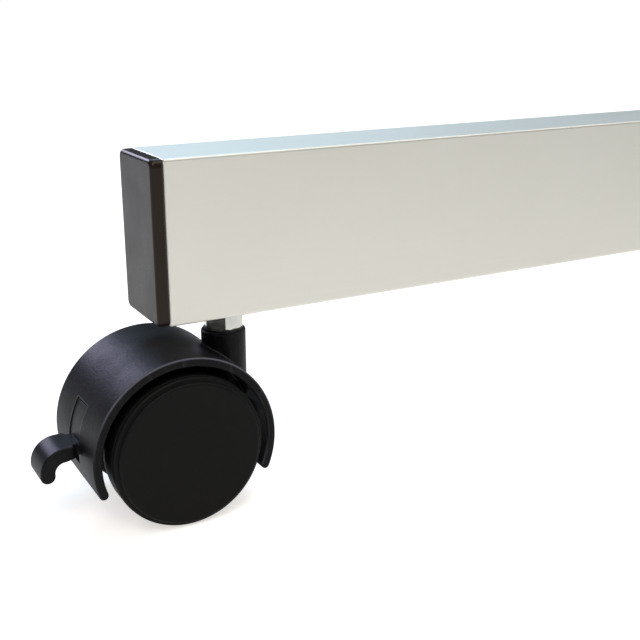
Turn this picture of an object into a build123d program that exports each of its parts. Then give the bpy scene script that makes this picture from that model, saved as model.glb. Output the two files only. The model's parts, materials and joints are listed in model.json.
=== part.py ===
from build123d import *
import os
from math import cos, sin, radians

# Foot rail of a free-standing retail display, on two braked twin-wheel casters.
# Millimetres. The origin is on the floor under the middle of the rail. +X runs along the rail, +Z is up.
# The right half is the left half turned half a turn about Z.

# Rail tube
RAIL_LENGTH = 500.0
RAIL_HEIGHT = 51.6
RAIL_DEPTH = 28.6
RAIL_WALL = 1.6
RAIL_CORNER = 0.9
RAIL_END_CHAMFER = 0.3

# Wheels
WHEEL_RADIUS = 25.0
TREAD_INNER = 10.0        # inner face of the tread, from the caster's middle plane
TREAD_OUTER = 20.4
TREAD_TAPER = 0.5
COVER_EDGE = 22.0         # outer edge of the cover's rim
COVER_EDGE_ROUND = 0.9
COVER_FACE = 23.5         # outer face of the cover's raised disc
COVER_DISC_RADIUS = 23.5
COVER_ROUND = 0.9
RIM_INNER_RADIUS = 21.2
HUB_RADIUS = 6.0
DRUM_RADIUS = 19.5        # the brake shoe presses here
DRUM_WALL = 2.3
DRUM_INNER = 7.4
SPOKE_COUNT = 6
SPOKE_THICK = 1.6
SPOKE_TOP = 15.6
SPIGOT_INNER = 16.2       # inner end of the cover's spigot ring
SPIGOT_WALL = 1.5
SPIGOT_GAP = 0.1

# Hood
HOOD_RADIUS = 30.6
HOOD_WALL = 2.9
HOOD_HALF_WIDTH = 20.4
HOOD_FRONT_ANGLE = -22.5  # angles are seen from the front, from +X towards +Z
HOOD_REAR_ANGLE = 197.8
HOOD_EDGE_ROUND = 0.7
WEB_HALF = 2.5
WEB_FRONT_ANGLE = -5.0
WEB_REAR_ANGLE = 151.0
BOSS_RADIUS = 7.4
BOSS_BOTTOM = 9.0         # above the wheel axis
AXLE_LUG_RADIUS = 6.5
AXLE_LUG_HALF = 3.3

# Stem
TRAIL = 22.0              # from the stem axis back to the wheel axis
STEM_INSET = 23.6         # from the tube's end to the stem axis
STEM_RADIUS = 4.0
STEM_RUNNING_CLEARANCE = 0.06
HEX_FLATS = 12.0
HEX_TURN = 16.0
HOOD_TO_RAIL = 8.7        # from the top of the hood up to the rail
BOSS_TO_RAIL = 7.9
WASHER_THICK = 0.8
WASHER_RADIUS = 6.5
FLANGE_THICK = 0.8        # rivet nut flange under the rail
THREAD_LENGTH = 15.0
NUT_WALL = 1.4
NUT_BULGE = 2.6           # crimped bead above the tube's bottom wall, past the thread
NUT_FLANGE = 2.8
CLIP_THICK = 0.9
CLIP_WIDTH = 1.7
CLIP_GROOVE = 0.7
CLIP_MOUTH = 4.0
SWIVEL_GAP = 0.1

# Axle
AXLE_RADIUS = 3.0
AXLE_HALF = 19.2
HUB_INNER = 3.6
HUB_OUTER = 17.4
AXLE_CLIP_START = HUB_OUTER + 0.3
AXLE_CLIP_END = HUB_OUTER + 1.1
AXLE_CLIP_GROOVE = 0.6
AXLE_CLIP_WIDTH = 1.8
RUNNING_CLEARANCE = 0.05

# Brake lever, places from the wheel axis as (x, z)
PIN_AT = (-14.0, 6.0)
PIN_RADIUS = 1.5
PIN_LUG_RADIUS = 4.2
ARM_RADIUS = 3.4
LEVER_HALF = 4.7          # of the lever inside the hood
PEDAL_HALF = 6.5
PEDAL_LENGTH = 20.0       # more than the pedal's reach beyond its shoulders
SHOULDER_AT = -32.0       # the neck widens to the pedal here, outside the hood
SHOULDER_ROUND = 0.85
LEVER_SLOT_HALF = 2.9
SHOE_AT = (-22.5, 0.0)
SHOE_RADIUS = 1.9
SHOE_HALF = 9.6
PEDAL_THICK = 4.7
PEDAL_BEND = 5.65         # radius of the hook's middle line
PEDAL_BEND_AT = (-35.2, -5.0)
PEDAL_TIP_ANGLE = 184.6
PEDAL_ROUND = 0.7
NECK_ROOT = (-27.5, 1.5)
NECK_ROOT_RADIUS = 1.7
SHIELD_RADIUS = 30.2
SHIELD_THICK = 1.5
SHIELD_TOP_GAP = 1.1      # degrees
SHIELD_BOTTOM_ANGLE = 176.0
WINDOW_HALF = 5.15
WINDOW_TOP_ANGLE = 150.5
WINDOW_BOTTOM_ANGLE = 187.5

# End cap
CAP_THICK = 4.0
CAP_CORNER = 2.5
CAP_ROUND = 1.4
CAP_SEAM_CHAMFER = 0.35
PLUG_DEPTH = 16.0
PLUG_GAP = 0.25
PLUG_WALL = 2.2
CRUSH_RIB = 1.2

# Bolting of the upright at the middle of the rail
UPRIGHT_SPACING = 60.0
UPRIGHT_HOLE_RADIUS = 4.25
SLEEVE_RADIUS = 6.25

AXLE_Z = WHEEL_RADIUS
RAIL_BOTTOM = AXLE_Z + HOOD_RADIUS + HOOD_TO_RAIL
RAIL_MIDDLE = RAIL_BOTTOM + RAIL_HEIGHT / 2
BOSS_TOP = RAIL_BOTTOM - BOSS_TO_RAIL
HOOD_BORE = HOOD_RADIUS - HOOD_WALL

ON_BOTTOM = (Align.CENTER, Align.CENTER, Align.MIN)
FROM_LEFT = (Align.MIN, Align.CENTER, Align.CENTER)
OUTWARD = (Align.MIN, Align.MIN, Align.CENTER)

os.makedirs("parts", exist_ok=True)


def polar(radius, angle):
    return (radius * cos(radians(angle)), radius * sin(radians(angle)))


def bar_y(sketch, half):
    """A sketch of the (x, z) side view made solid from -half to +half along Y."""
    return extrude(Plane.XZ * sketch, amount=half, both=True)


def ring_z(outer, inner, bottom, top):
    """A ring about Z."""
    body = Pos(0, 0, bottom) * Cylinder(outer, top - bottom, align=ON_BOTTOM)
    return body - Pos(0, 0, bottom) * Cylinder(inner, top - bottom, align=ON_BOTTOM)


def turned_y(points):
    """A body turned about Y from a closed (radius, y) outline."""
    outline = make_face(Polyline(*points, close=True))
    return revolve(outline, Axis.Y, 360)


def sector(outer, inner, start, end):
    """Side view of a part of a ring between two angles."""
    middle = (start + end) / 2
    return make_face(
        ThreePointArc(polar(outer, start), polar(outer, middle), polar(outer, end))
        + Line(polar(outer, end), polar(inner, end))
        + ThreePointArc(polar(inner, end), polar(inner, middle), polar(inner, start))
        + Line(polar(inner, start), polar(outer, start))
    )


def rounded_sector(outer, inner, start, end):
    """The same with a half-round nose at both ends."""
    middle_radius = (outer + inner) / 2
    nose = (outer - inner) / 2
    return (
        sector(outer, inner, start, end)
        + Pos(*polar(middle_radius, start)) * Circle(nose)
        + Pos(*polar(middle_radius, end)) * Circle(nose)
    )


def link(start, start_radius, end, end_radius):
    """Side view of a tapered link between two round ends."""
    first = Pos(*start) * Circle(start_radius)
    second = Pos(*end) * Circle(end_radius)
    return make_hull([*first.edges(), *second.edges()])


# Rail and its fixed parts, in the object's frame

def rail_tube():
    outside = RectangleRounded(RAIL_DEPTH, RAIL_HEIGHT, RAIL_CORNER)
    inside = RectangleRounded(RAIL_DEPTH - 2 * RAIL_WALL, RAIL_HEIGHT - 2 * RAIL_WALL, RAIL_CORNER / 2)
    tube = extrude(Plane.YZ * (outside - inside), amount=RAIL_LENGTH / 2, both=True)
    ends = [tube.faces().sort_by(Axis.X)[place].outer_wire() for place in (0, -1)]
    tube = chamfer([edge for end in ends for edge in end.edges()], RAIL_END_CHAMFER)
    tube = Pos(0, 0, RAIL_MIDDLE) * tube
    for side in (-1, 1):
        upright_hole = Cylinder(UPRIGHT_HOLE_RADIUS, RAIL_HEIGHT + 2)
        tube -= Pos(side * UPRIGHT_SPACING / 2, 0, RAIL_MIDDLE) * upright_hole
        nut_hole = Cylinder(STEM_RADIUS + NUT_WALL, 4 * RAIL_WALL)
        tube -= Pos(side * (RAIL_LENGTH / 2 - STEM_INSET), 0, RAIL_BOTTOM) * nut_hole
    return tube


def end_cap():
    """Left cap: plate outside the tube's end, hollow plug with crush ribs inside."""
    plate_face = RectangleRounded(RAIL_DEPTH, RAIL_HEIGHT, CAP_CORNER)
    plate = extrude(Plane.YZ * plate_face, amount=-CAP_THICK)
    plate = fillet(plate.faces().sort_by(Axis.X)[0].edges(), CAP_ROUND)
    plate = chamfer(plate.faces().sort_by(Axis.X)[-1].edges(), CAP_SEAM_CHAMFER)
    depth_inside = RAIL_DEPTH - 2 * RAIL_WALL
    height_inside = RAIL_HEIGHT - 2 * RAIL_WALL
    plug_depth = depth_inside - 2 * PLUG_GAP
    plug_height = height_inside - 2 * PLUG_GAP
    plug = Box(PLUG_DEPTH, plug_depth, plug_height, align=FROM_LEFT)
    lead_in = plug.faces().sort_by(Axis.X)[-1].edges()
    plug = chamfer(lead_in, 2 * PLUG_GAP)
    plug -= Box(
        PLUG_DEPTH, plug_depth - 2 * PLUG_WALL, plug_height - 2 * PLUG_WALL,
        align=FROM_LEFT,
    )
    rib_length = PLUG_DEPTH - 4 * PLUG_GAP
    for z in (-plug_height / 4, plug_height / 4):
        plug += Pos(0, 0, z) * Box(
            rib_length, depth_inside, CRUSH_RIB, align=FROM_LEFT
        ) - Pos(0, 0, z) * Box(
            PLUG_DEPTH, plug_depth - 2 * PLUG_WALL, 2 * CRUSH_RIB, align=FROM_LEFT
        )
    plug += Box(
        rib_length, CRUSH_RIB, height_inside, align=FROM_LEFT
    ) - Box(
        PLUG_DEPTH, 2 * CRUSH_RIB, plug_height - 2 * PLUG_WALL, align=FROM_LEFT
    )
    return Pos(-RAIL_LENGTH / 2, 0, RAIL_MIDDLE) * (plate + plug)


def upright_sleeves():
    """Two crush sleeves between the tube's top and bottom walls."""
    bottom = RAIL_BOTTOM + RAIL_WALL
    top = RAIL_BOTTOM + RAIL_HEIGHT - RAIL_WALL
    sleeve = ring_z(SLEEVE_RADIUS, UPRIGHT_HOLE_RADIUS, bottom, top)
    return Compound(children=[Pos(side * UPRIGHT_SPACING / 2, 0, 0) * sleeve for side in (-1, 1)])


# Parts of one caster. X and Y are measured from the stem axis, Z from the floor.

def at_axle(body):
    return Pos(-TRAIL, 0, AXLE_Z) * body


def rivet_nut():
    flange = ring_z(STEM_RADIUS + NUT_FLANGE, STEM_RADIUS, RAIL_BOTTOM - FLANGE_THICK, RAIL_BOTTOM)
    barrel = ring_z(STEM_RADIUS + NUT_WALL, STEM_RADIUS, RAIL_BOTTOM, RAIL_BOTTOM + THREAD_LENGTH + 1)
    bulge = ring_z(STEM_RADIUS + NUT_BULGE, STEM_RADIUS, RAIL_BOTTOM + RAIL_WALL, RAIL_BOTTOM + 3 * RAIL_WALL)
    return flange + barrel + bulge


def stem():
    hex_top = RAIL_BOTTOM - FLANGE_THICK
    hex_bottom = BOSS_TOP + SWIVEL_GAP + WASHER_THICK
    hexagon = RegularPolygon(HEX_FLATS / 2, 6, major_radius=False, rotation=HEX_TURN)
    collar = Pos(0, 0, hex_bottom) * extrude(hexagon, amount=hex_top - hex_bottom)
    corner_cone = Pos(0, 0, hex_bottom) * Cylinder(
        HEX_FLATS / 2 + 0.75, hex_top - hex_bottom, align=ON_BOTTOM
    )
    collar &= chamfer(corner_cone.edges().filter_by(GeomType.CIRCLE), 0.5)
    clip_top = AXLE_Z + BOSS_BOTTOM - 3 * SWIVEL_GAP
    shank_bottom = clip_top - CLIP_THICK - CLIP_WIDTH
    shank = Pos(0, 0, shank_bottom) * Cylinder(
        STEM_RADIUS, hex_bottom - shank_bottom, align=ON_BOTTOM
    )
    shank = chamfer(shank.edges().sort_by(Axis.Z)[0], 0.5)
    groove = ring_z(STEM_RADIUS + 1, STEM_RADIUS - CLIP_GROOVE, clip_top - CLIP_THICK, clip_top)
    thread = Pos(0, 0, hex_top) * Cylinder(
        STEM_RADIUS, THREAD_LENGTH, align=ON_BOTTOM
    )
    thread = chamfer(thread.edges().sort_by(Axis.Z)[-1], 0.8)
    return collar + shank + thread - groove


def thrust_washer():
    bottom = BOSS_TOP + SWIVEL_GAP
    return ring_z(WASHER_RADIUS, STEM_RADIUS, bottom, bottom + WASHER_THICK)


def stem_clip():
    """Open ring in the stem's groove, under the boss."""
    top = AXLE_Z + BOSS_BOTTOM - 3 * SWIVEL_GAP
    ring = ring_z(STEM_RADIUS + CLIP_WIDTH, STEM_RADIUS - CLIP_GROOVE, top - CLIP_THICK, top)
    return ring - Pos(STEM_RADIUS, 0, top) * Box(2 * STEM_RADIUS, CLIP_MOUTH, 4 * CLIP_THICK)


def hood():
    shell = bar_y(rounded_sector(HOOD_RADIUS, HOOD_BORE, HOOD_FRONT_ANGLE, HOOD_REAR_ANGLE), HOOD_HALF_WIDTH)
    rims = shell.faces().filter_by(Axis.Y)
    shell = fillet([edge for rim in rims for edge in rim.edges()], HOOD_EDGE_ROUND)
    inner = HOOD_BORE + HOOD_WALL / 2
    pin_lug = link((0, 0), AXLE_LUG_RADIUS, PIN_AT, PIN_LUG_RADIUS)
    web = bar_y(sector(inner, 1, WEB_FRONT_ANGLE, WEB_REAR_ANGLE) + pin_lug, WEB_HALF)
    axle_lug = bar_y(Circle(AXLE_LUG_RADIUS), AXLE_LUG_HALF)
    boss = Pos(TRAIL, 0, BOSS_BOTTOM) * Cylinder(
        BOSS_RADIUS, BOSS_TOP - AXLE_Z - BOSS_BOTTOM, align=ON_BOTTOM
    )
    boss = fillet(boss.edges().sort_by(Axis.Z)[-1], 0.5)
    body = shell + web + axle_lug + boss

    clip_pocket = Pos(TRAIL, 0, BOSS_BOTTOM) * Cylinder(
        BOSS_RADIUS, 6.5, align=(Align.CENTER, Align.CENTER, Align.MAX)
    )
    stem_bore = Pos(TRAIL, 0, 0) * Cylinder(STEM_RADIUS + STEM_RUNNING_CLEARANCE, 4 * HOOD_RADIUS)
    axle_bore = bar_y(Circle(AXLE_RADIUS), HOOD_HALF_WIDTH)
    pin_bore = bar_y(Pos(*PIN_AT) * Circle(PIN_RADIUS), HOOD_HALF_WIDTH)
    window = bar_y(
        sector(HOOD_RADIUS + 3, HOOD_BORE - 1.2, WINDOW_TOP_ANGLE, WINDOW_BOTTOM_ANGLE), WINDOW_HALF
    )
    return at_axle(body - clip_pocket - stem_bore - axle_bore - pin_bore - window)


def axle():
    pin = bar_y(Circle(AXLE_RADIUS), AXLE_HALF)
    pin = chamfer(pin.edges().filter_by(GeomType.CIRCLE), 0.4)
    for side in (-1, 1):
        groove = turned_y([
            (AXLE_RADIUS - AXLE_CLIP_GROOVE, AXLE_CLIP_START), (AXLE_RADIUS + 1, AXLE_CLIP_START),
            (AXLE_RADIUS + 1, AXLE_CLIP_END), (AXLE_RADIUS - AXLE_CLIP_GROOVE, AXLE_CLIP_END),
        ])
        pin -= Rot(0, 0, 0 if side > 0 else 180) * groove
    return at_axle(pin)


def axle_clips():
    """Two open rings in the axle's grooves, outside the hubs."""
    ring = turned_y([
        (AXLE_RADIUS - AXLE_CLIP_GROOVE, AXLE_CLIP_START), (AXLE_RADIUS + AXLE_CLIP_WIDTH, AXLE_CLIP_START),
        (AXLE_RADIUS + AXLE_CLIP_WIDTH, AXLE_CLIP_END), (AXLE_RADIUS - AXLE_CLIP_GROOVE, AXLE_CLIP_END),
    ])
    ring -= Pos(AXLE_RADIUS, HUB_OUTER, 0) * Box(2 * AXLE_RADIUS, 4, 2.6)
    return Compound(children=[at_axle(Rot(0, 0, turn) * ring) for turn in (0, 180)])


def wheel():
    """The wheel on the +Y side: hub, disc, rim with tread, and brake drum."""
    disc_outer = TREAD_INNER + 2.2
    body = turned_y([
        (AXLE_RADIUS + RUNNING_CLEARANCE, HUB_INNER),
        (HUB_RADIUS, HUB_INNER),
        (HUB_RADIUS, TREAD_INNER),
        (DRUM_RADIUS - DRUM_WALL, TREAD_INNER),
        (DRUM_RADIUS - DRUM_WALL, DRUM_INNER),
        (DRUM_RADIUS, DRUM_INNER),
        (DRUM_RADIUS, TREAD_INNER),
        (WHEEL_RADIUS - 2 * TREAD_TAPER, TREAD_INNER),
        (WHEEL_RADIUS - TREAD_TAPER, TREAD_INNER + TREAD_TAPER),
        (WHEEL_RADIUS, TREAD_INNER + 4),
        (WHEEL_RADIUS, TREAD_OUTER),
        (RIM_INNER_RADIUS, TREAD_OUTER),
        (RIM_INNER_RADIUS, disc_outer),
        (HUB_RADIUS, disc_outer),
        (HUB_RADIUS, HUB_OUTER),
        (AXLE_RADIUS + RUNNING_CLEARANCE, HUB_OUTER),
    ])
    spoke_length = RIM_INNER_RADIUS - HUB_RADIUS + 1
    for n in range(SPOKE_COUNT):
        spoke = Pos(HUB_RADIUS - 0.5, disc_outer - 0.5, 0) * Box(
            spoke_length, SPOKE_TOP - disc_outer + 0.5, SPOKE_THICK, align=OUTWARD
        )
        body += Rot(0, n * 360 / SPOKE_COUNT, 0) * spoke
    return body


def wheel_cover():
    """The cover on the +Y side: rim over the tread's end, raised disc, and a spigot ring inside the rim."""
    edge_radius = WHEEL_RADIUS - 0.1
    plate = turned_y([
        (0, TREAD_OUTER),
        (edge_radius, TREAD_OUTER),
        (edge_radius, COVER_EDGE),
        (COVER_DISC_RADIUS, COVER_EDGE),
        (COVER_DISC_RADIUS, COVER_FACE),
        (0, COVER_FACE),
    ])
    circles = plate.edges().filter_by(GeomType.CIRCLE)
    rim_edge = circles.sort_by(SortBy.RADIUS)[-2:].sort_by(Axis.Y)[-1]
    plate = fillet(rim_edge, COVER_EDGE_ROUND)
    disc_edge = plate.edges().filter_by(GeomType.CIRCLE).sort_by(Axis.Y)[-1]
    plate = fillet(disc_edge, COVER_ROUND)
    spigot_radius = RIM_INNER_RADIUS - SPIGOT_GAP
    spigot = turned_y([
        (spigot_radius - SPIGOT_WALL, SPIGOT_INNER),
        (spigot_radius, SPIGOT_INNER),
        (spigot_radius, TREAD_OUTER),
        (spigot_radius - SPIGOT_WALL, TREAD_OUTER),
    ])
    return plate + spigot


def pedal_with_neck():
    """Hooked pedal outside the hood, narrowed by round shoulders to the neck that enters the window."""
    bend_x, bend_z = PEDAL_BEND_AT
    half_thick = PEDAL_THICK / 2
    hook = Pos(bend_x, bend_z) * rounded_sector(
        PEDAL_BEND + half_thick, PEDAL_BEND - half_thick, 90, PEDAL_TIP_ANGLE
    )
    neck = link(NECK_ROOT, NECK_ROOT_RADIUS, (bend_x, bend_z + PEDAL_BEND), half_thick)
    wide = Rectangle(PEDAL_LENGTH, 2 * PEDAL_HALF, align=(Align.MAX, Align.CENTER))
    narrow = Rectangle(PEDAL_LENGTH, 2 * LEVER_HALF, align=(Align.MIN, Align.CENTER))
    top_view = Pos(SHOULDER_AT, 0) * (wide + narrow)
    top_view = fillet(top_view.vertices().group_by(Axis.X)[1], SHOULDER_ROUND)
    body = bar_y(hook + neck, PEDAL_HALF) & extrude(top_view, amount=PEDAL_LENGTH, both=True)
    sides = body.faces().filter_by(Axis.Y)
    outlines = [edge for side in sides for edge in side.edges().filter_by(Axis.Z, reverse=True)]
    return fillet(outlines, PEDAL_ROUND)


def brake_lever():
    """Pedal and neck, shield in the hood's window, two arms on the pin and the shoe bar."""
    arm = link(PIN_AT, ARM_RADIUS, NECK_ROOT, NECK_ROOT_RADIUS + 0.4)
    shield_top = WINDOW_TOP_ANGLE + SHIELD_TOP_GAP
    shield_bottom = SHIELD_BOTTOM_ANGLE
    shield = sector(SHIELD_RADIUS, SHIELD_RADIUS - SHIELD_THICK, shield_top, shield_bottom)
    shield_rib = sector(SHIELD_RADIUS - SHIELD_THICK / 2, HOOD_BORE - 3, shield_top + 4, shield_bottom - 1)
    back_rib = sector(HOOD_BORE - 1.1, HOOD_BORE - 4, shield_top + 5, 178)
    inside = bar_y(arm + shield + shield_rib + back_rib, LEVER_HALF)
    in_front_of_shoe = Pos(SHOE_AT[0] + SHOE_RADIUS / 3, 0) * Rectangle(
        2 * HOOD_RADIUS, 2 * HOOD_RADIUS, align=(Align.MIN, Align.CENTER)
    )
    slot = bar_y(Circle(HOOD_BORE) & in_front_of_shoe, LEVER_SLOT_HALF)
    shoe = bar_y(Pos(*SHOE_AT) * Circle(SHOE_RADIUS), SHOE_HALF)
    pin_bore = bar_y(Pos(*PIN_AT) * Circle(PIN_RADIUS + RUNNING_CLEARANCE), HOOD_HALF_WIDTH)
    return at_axle(pedal_with_neck() + inside - slot + shoe - pin_bore)


def brake_pin():
    return at_axle(bar_y(Pos(*PIN_AT) * Circle(PIN_RADIUS), LEVER_HALF))


# Placing and writing

LEFT = Pos(-(RAIL_LENGTH / 2 - STEM_INSET), 0, 0)
HALF_TURN = Rot(0, 0, 180)


def write(name, body):
    export_step(body, f"parts/{name}.step")


def main():
    write("rail_tube", rail_tube())
    write("upright_sleeves", upright_sleeves())
    cap = end_cap()
    write("end_cap_left", cap)
    write("end_cap_right", HALF_TURN * cap)

    caster = {
        "rivet_nut": rivet_nut(),
        "stem": stem(),
        "thrust_washer": thrust_washer(),
        "stem_clip": stem_clip(),
        "hood": hood(),
        "axle": axle(),
        "axle_clips": axle_clips(),
        "brake_lever": brake_lever(),
        "brake_pin": brake_pin(),
    }
    for name, body in caster.items():
        write(f"{name}_left", LEFT * body)
        write(f"{name}_right", HALF_TURN * LEFT * body)

    for name, body in {"wheel": wheel(), "wheel_cover": wheel_cover()}.items():
        back = at_axle(body)
        front = at_axle(HALF_TURN * body)
        write(f"{name}_left_back", LEFT * back)
        write(f"{name}_left_front", LEFT * front)
        write(f"{name}_right_back", HALF_TURN * LEFT * front)
        write(f"{name}_right_front", HALF_TURN * LEFT * back)


main()
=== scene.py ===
import bpy
import json
import math
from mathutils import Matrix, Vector


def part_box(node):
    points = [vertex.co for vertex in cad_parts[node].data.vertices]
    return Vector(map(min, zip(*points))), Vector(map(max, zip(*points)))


# Looks of the caster foot rail. Metres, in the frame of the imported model.

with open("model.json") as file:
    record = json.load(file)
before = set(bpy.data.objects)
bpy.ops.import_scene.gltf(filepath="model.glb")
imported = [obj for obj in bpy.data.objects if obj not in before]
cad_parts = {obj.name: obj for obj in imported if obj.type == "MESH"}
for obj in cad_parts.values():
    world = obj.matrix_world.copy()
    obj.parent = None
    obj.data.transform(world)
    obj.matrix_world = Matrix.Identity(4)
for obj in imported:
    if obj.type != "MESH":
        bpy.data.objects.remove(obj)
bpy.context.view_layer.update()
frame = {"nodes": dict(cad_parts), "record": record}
MM = 0.001
WHITE = (1.0, 1.0, 1.0)

# Most of a noise texture's values lie between these
NOISE_LOW = 0.3
NOISE_HIGH = 0.7

# Edges are found by the cosine between a bevelled normal and the true one: where the mask of a hard
# or soft edge is full, and where it is nothing
EDGE_RADIUS = 0.5 * MM
HARD_EDGE = 0.80
SOFT_EDGE = 0.93
NO_EDGE = 0.995

# Tones of the anodised rail
HAZE_DARK = (0.87, 0.86, 0.785)
HAZE_LIGHT = (0.91, 0.90, 0.835)
DRAWN_GRAIN = (0.93, 0.925, 0.885)
# Colour of the rail's corners: a painted highlight, brighter than the face
PAINTED_CORNER_HIGHLIGHT = (0.93, 0.95, 0.95)

# The rounded rims of the hoods, painted lighter than the rest as a highlight: colour, and where they lie
PAINTED_RIM_HIGHLIGHT = (0.11, 0.11, 0.14)
HOOD_HALF_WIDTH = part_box("hood_left")[1].y
HOOD_ROUNDING = 0.7 * MM

# The second colour of each plastic goes on its scuffs, which are wear, and on its edges, where it is
# partly rubbed wear and partly a painted highlight
PLASTICS = {
    "cap_plastic": dict(
        colour=(0.012, 0.009, 0.007), wear_and_edge_highlight=(0.07, 0.066, 0.06), roughness=0.30,
        grain=0.5 * MM, depth=0.015 * MM, specular=0.26, tint=(1.0, 0.82, 0.70)),
    "hood_nylon": dict(
        colour=(0.005, 0.005, 0.006), wear_and_edge_highlight=(0.16, 0.16, 0.18), roughness=0.43,
        grain=0.9 * MM, depth=0.13 * MM, specular=0.12, painted_rim=(HOOD_HALF_WIDTH, HOOD_ROUNDING)),
    "lever_nylon": dict(
        colour=(0.005, 0.005, 0.006), wear_and_edge_highlight=(0.08, 0.08, 0.09), roughness=0.38,
        grain=0.8 * MM, depth=0.06 * MM, specular=0.14),
    "wheel_nylon": dict(
        colour=(0.003, 0.003, 0.003), wear_and_edge_highlight=(0.02, 0.02, 0.02), roughness=0.50,
        grain=0.6 * MM, depth=0.03 * MM, specular=0.25),
    "cover_plastic": dict(
        colour=(0.0045, 0.0045, 0.0045), wear_and_edge_highlight=(0.02, 0.02, 0.02), roughness=0.55,
        grain=0.5 * MM, depth=0.02 * MM, specular=0.13),
}
STEELS = {
    "zinc_steel": dict(colour=(0.72, 0.72, 0.68), dull=(0.58, 0.58, 0.55), roughness=0.16),
    "spring_steel": dict(colour=(0.30, 0.29, 0.28), dull=(0.20, 0.19, 0.18), roughness=0.25),
}

# The camera's place is in rail heights from the rail's lower front left corner, its turns in degrees
CAMERA_PLACE = (-2.0358, -5.4107, 1.8854)
CAMERA_DOWN = 17.83
CAMERA_RIGHT = 29.42
CAMERA_LENS = 56.96
SENSOR_WIDTH = 36.0

# The camera sees the floor and the room brighter than they light the object, and the floor whitens
# between two distances from the origin
FLOOR_HALF = 30.0
FLOOR_COLOUR = (0.85, 0.83, 0.81)
FLOOR_GLOW_COLOUR = (1.0, 0.975, 0.94)
FLOOR_GLOW = 0.30
FLOOR_SEEN_NEAR = 0.65
FLOOR_SEEN_FAR = 1.0
WHITENS_FROM = 0.6
WHITENS_TO = 2.0
ROOM_GLOW = 0.08
ROOM_SEEN = 1.0

# Soft lights: name, place, aim, width, height, radiance, colour
LIGHTS = (
    ("left_window", (-0.64, 1.98, 0.88), (-0.25, 0.0, 0.06), 0.75, 0.65, 8.5, (0.72, 0.72, 1.0)),
    ("high_window", (0.10, 1.20, 1.65), (-0.2, 0.0, 0.10), 1.3, 1.1, 3.5, (0.57, 0.80, 1.0)),
    ("overhead", (0.45, -0.4, 1.6), (-0.1, 0.0, 0.0), 1.0, 0.8, 2.8, (1.0, 0.98, 0.94)),
    ("right_strip", (1.05, -0.18, 1.15), (-0.05, 0.0, 0.1), 0.7, 0.5, 1.9, (0.95, 0.99, 1.0)),
    ("left_key", (-0.65, -0.65, 1.0), (-0.2, -0.15, 0.0), 0.6, 0.6, 5.7, (1.0, 0.96, 0.89)),
)


# Materials

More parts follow.
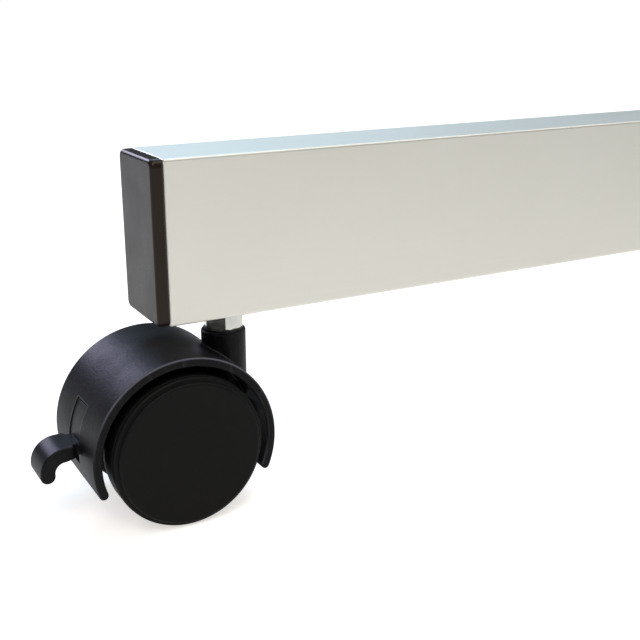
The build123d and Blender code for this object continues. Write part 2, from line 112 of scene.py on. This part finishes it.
class Shader:
    """A material under construction: its node tree and its Principled shader."""

    def __init__(self, name):
        self.material = bpy.data.materials.new(name)
        self.material.use_nodes = True
        self.tree = self.material.node_tree
        self.principled = self.tree.nodes["Principled BSDF"]
        self.position = self.node("ShaderNodeTexCoord").outputs["Object"]

    def node(self, kind, **inputs):
        made = self.tree.nodes.new(kind)
        for name, value in inputs.items():
            made.inputs[name.replace("_", " ")].default_value = value
        return made

    def join(self, output, target):
        self.tree.links.new(output, target)

    def set(self, **values):
        for name, value in values.items():
            self.principled.inputs[name.replace("_", " ")].default_value = value

    def drive(self, **outputs):
        """Links outputs to the shader's inputs of these names."""
        for name, output in outputs.items():
            self.join(output, self.principled.inputs[name.replace("_", " ")])

    def noise(self, scale, detail=3.0, roughness=0.55, stretch=None):
        source = self.position
        if stretch:
            mapping = self.node("ShaderNodeMapping", Scale=stretch)
            self.join(source, mapping.inputs["Vector"])
            source = mapping.outputs["Vector"]
        noise = self.node("ShaderNodeTexNoise", Scale=scale, Detail=detail, Roughness=roughness)
        self.join(source, noise.inputs["Vector"])
        return noise.outputs["Fac"]

    def remap(self, value, low=0.0, high=1.0, start=0.0, end=1.0):
        """Carries start to low and end to high, and holds the result there outside them."""
        ramp = self.node("ShaderNodeMapRange")
        for name, number in (("From Min", start), ("From Max", end), ("To Min", low), ("To Max", high)):
            ramp.inputs[name].default_value = number
        self.join(value, ramp.inputs["Value"])
        return ramp.outputs["Result"]

    def spread(self, noise, low=0.0, high=1.0):
        """Spreads a noise over low to high."""
        return self.remap(noise, low, high, NOISE_LOW, NOISE_HIGH)

    def math(self, operation, *values):
        result = self.node("ShaderNodeMath")
        result.operation = operation
        for value, target in zip(values, result.inputs):
            self.join(value, target)
        return result.outputs[0]

    def vector_math(self, operation, *vectors):
        result = self.node("ShaderNodeVectorMath")
        result.operation = operation
        for vector, target in zip(vectors, result.inputs):
            self.join(vector, target)
        return result.outputs["Value"]

    def along(self, axis, vector):
        split = self.node("ShaderNodeSeparateXYZ")
        self.join(vector, split.inputs["Vector"])
        return split.outputs[axis]

    def mix(self, factor, first, second):
        mix = self.node("ShaderNodeMix")
        mix.data_type = "RGBA"
        self.join(factor, mix.inputs["Factor"])
        for colour, target in ((first, mix.inputs["A"]), (second, mix.inputs["B"])):
            if isinstance(colour, bpy.types.NodeSocket):
                self.join(colour, target)
            else:
                target.default_value = (*colour, 1.0)
        return mix.outputs["Result"]

    def geometry(self, output):
        return self.node("ShaderNodeNewGeometry").outputs[output]

    def edges(self, full):
        """1 along edges where the cosine is full or less, 0 on flat ground."""
        bevel = self.node("ShaderNodeBevel", Radius=EDGE_RADIUS)
        bevel.samples = 6
        cosine = self.vector_math("DOT_PRODUCT", bevel.outputs["Normal"], self.geometry("Normal"))
        return self.remap(cosine, low=1.0, high=0.0, start=full, end=NO_EDGE)

    def rim_highlight_mask(self, half_width, rounding):
        """1 on upward edges that are rounded beside the flat faces at Y = half_width and -half_width:
        where the painted rim highlight goes.
        """
        distance = self.math("ABSOLUTE", self.along("Y", self.position))
        before = self.remap(distance, start=half_width - rounding, end=half_width - 0.6 * rounding)
        after = self.remap(distance, low=1.0, high=0.0, start=half_width - 0.2 * rounding, end=half_width)
        upward = self.remap(self.along("Z", self.geometry("Normal")), start=0.05, end=0.45)
        return self.math("MULTIPLY", self.math("MULTIPLY", before, after), upward)

    def bump(self, *layers):
        """Stacks (height, distance, strength) layers into the shader's normal."""
        normal = None
        for height, distance, strength in layers:
            bump = self.node("ShaderNodeBump", Distance=distance, Strength=strength)
            self.join(height, bump.inputs["Height"])
            if normal:
                self.join(normal, bump.inputs["Normal"])
            normal = bump.outputs["Normal"]
        self.drive(Normal=normal)


def anodised_aluminium(name):
    """Satin anodised extrusion: die lines along the length, faint handling haze, and corners painted
    bright as a highlight.
    """
    s = Shader(name)
    s.set(Metallic=0.92)
    drawn = s.noise(scale=9.0, detail=4.0, roughness=0.6, stretch=(2.0, 150.0, 150.0))
    lines = s.noise(scale=30.0, detail=2.0, roughness=0.5, stretch=(0.4, 60.0, 60.0))
    haze = s.noise(scale=11.0)
    tone = s.mix(s.spread(haze), HAZE_DARK, HAZE_LIGHT)
    grained = s.mix(s.remap(drawn, high=0.30, start=0.35, end=0.7), tone, DRAWN_GRAIN)
    # The corners get a painted highlight colour
    s.drive(Base_Color=s.mix(s.edges(HARD_EDGE), grained, PAINTED_CORNER_HIGHLIGHT))
    s.drive(Roughness=s.spread(drawn, 0.50, 0.58))
    s.bump((drawn, 0.015 * MM, 0.30), (lines, 0.01 * MM, 0.25), (haze, 0.05 * MM, 0.05))
    return s.material


def moulded_plastic(name, colour, wear_and_edge_highlight, roughness, grain, depth, specular, tint=WHITE, painted_rim=None):
    """Black moulded plastic: spark-eroded grain, uneven sheen, faint scuffs, and edges painted lighter,
    partly rubbed wear and partly a painted highlight; where asked, a painted highlight on the rounded
    rims.
    """
    s = Shader(name)
    s.set(Specular_IOR_Level=specular, Specular_Tint=(*tint, 1.0))
    grains = s.noise(scale=1.0 / grain, detail=2.0, roughness=0.5)
    cloud = s.noise(scale=70.0)
    scuffs = s.noise(scale=260.0, detail=4.0, roughness=0.7, stretch=(1.0, 4.0, 0.35))
    base = s.mix(s.spread(cloud), colour, [channel * 1.35 for channel in colour])
    scuffed = s.mix(s.remap(scuffs, high=0.14, start=0.58, end=0.78), base, wear_and_edge_highlight)
    # Edges painted lighter: partly rubbed wear, partly a painted highlight
    finished = s.mix(s.edges(SOFT_EDGE), scuffed, wear_and_edge_highlight)
    # A painted highlight on the upward rounded rims of the hoods
    if painted_rim:
        finished = s.mix(s.rim_highlight_mask(*painted_rim), finished, PAINTED_RIM_HIGHLIGHT)
    s.drive(Base_Color=finished)
    sheen = s.spread(cloud, roughness - 0.05, roughness + 0.06)
    scuffed_sheen = s.remap(scuffs, high=0.02, start=0.56, end=0.78)
    s.drive(Roughness=s.math("ADD", sheen, scuffed_sheen))
    s.bump((grains, depth, 0.5), (cloud, 0.06 * MM, 0.12))
    return s.material


def plated_steel(name, colour, dull, roughness):
    """Plated steel: turned grain and slightly cloudy plating."""
    s = Shader(name)
    s.set(Metallic=1.0)
    brushed = s.noise(scale=500.0, roughness=0.6, stretch=(1.0, 1.0, 5.0))
    patches = s.noise(scale=220.0)
    s.drive(Base_Color=s.mix(s.remap(patches, start=0.35, end=0.65), colour, dull))
    s.drive(Roughness=s.spread(brushed, roughness - 0.04, roughness + 0.08))
    s.bump((brushed, 0.01 * MM, 0.25))
    return s.material


def materials():
    """The material of each slot in the record."""
    made = {"rail_aluminium": anodised_aluminium("rail_aluminium")}
    for name, look in PLASTICS.items():
        made[name] = moulded_plastic(name, **look)
    for name, look in STEELS.items():
        made[name] = plated_steel(name, **look)
    return made


def paint():
    """Gives each node the material of its slot in the record."""
    made = materials()
    for part in frame["record"]["subparts"]:
        slots = frame["nodes"][part["node"]].data.materials
        slots.clear()
        slots.append(made[part["material_slot"]])


# Studio

def camera():
    """The view from the left end, slightly above the rail."""
    tube_low, tube_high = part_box("rail_tube")
    height = tube_high.z - tube_low.z
    data = bpy.data.cameras.new("camera")
    data.lens = CAMERA_LENS
    data.sensor_width = SENSOR_WIDTH
    data.clip_start = 0.01
    data.clip_end = 100.0
    shown = bpy.data.objects.new("camera", data)
    shown.location = Vector(tube_low) + height * Vector(CAMERA_PLACE)
    shown.rotation_euler = (math.radians(90.0 - CAMERA_DOWN), 0.0, -math.radians(CAMERA_RIGHT))
    bpy.context.collection.objects.link(shown)
    bpy.context.scene.camera = shown


def softbox(name, place, aim, width, height, radiance, colour):
    """A rectangular light of a given brightness, facing its aim."""
    data = bpy.data.lights.new(name, "AREA")
    data.shape = "RECTANGLE"
    data.size = width
    data.size_y = height
    data.energy = radiance * width * height * math.pi
    data.color = colour
    lamp = bpy.data.objects.new(name, data)
    lamp.location = place
    lamp.rotation_euler = (Vector(aim) - Vector(place)).to_track_quat("-Z", "Y").to_euler()
    bpy.context.collection.objects.link(lamp)


def glow(tree, unseen, seen):
    """A strength for camera rays, a number or an output, and another one for all other rays."""
    path = tree.nodes.new("ShaderNodeLightPath")
    strength = tree.nodes.new("ShaderNodeMapRange")
    strength.inputs["To Min"].default_value = unseen
    if isinstance(seen, bpy.types.NodeSocket):
        tree.links.new(seen, strength.inputs["To Max"])
    else:
        strength.inputs["To Max"].default_value = seen
    tree.links.new(path.outputs["Is Camera Ray"], strength.inputs["Value"])
    return strength.outputs["Result"]


def floor():
    """A plain pale floor that can be seen only from above."""
    s = Shader("floor_white")
    s.set(Base_Color=(*FLOOR_COLOUR, 1.0), Emission_Color=(*FLOOR_GLOW_COLOUR, 1.0), Roughness=0.9)
    distance = s.vector_math("LENGTH", s.position)
    seen = s.remap(distance, FLOOR_SEEN_NEAR, FLOOR_SEEN_FAR, WHITENS_FROM, WHITENS_TO)
    s.drive(Emission_Strength=glow(s.tree, FLOOR_GLOW, seen))
    s.drive(Alpha=s.remap(s.geometry("Backfacing"), low=1.0, high=0.0))
    half = FLOOR_HALF
    corners = [(-half, -half, 0), (half, -half, 0), (half, half, 0), (-half, half, 0)]
    mesh = bpy.data.meshes.new("floor")
    mesh.from_pydata(corners, [], [(0, 1, 2, 3)])
    mesh.materials.append(s.material)
    shown = bpy.data.objects.new("floor", mesh)
    bpy.context.collection.objects.link(shown)


def room():
    """A white room that the camera sees brighter than it lights the object."""
    world = bpy.data.worlds.new("studio")
    world.use_nodes = True
    background = world.node_tree.nodes["Background"]
    background.inputs["Color"].default_value = (*WHITE, 1.0)
    world.node_tree.links.new(glow(world.node_tree, ROOM_GLOW, ROOM_SEEN), background.inputs["Strength"])
    bpy.context.scene.world = world


paint()
camera()
floor()
room()
for light in LIGHTS:
    softbox(*light)
bpy.context.scene.view_settings.view_transform = "Standard"
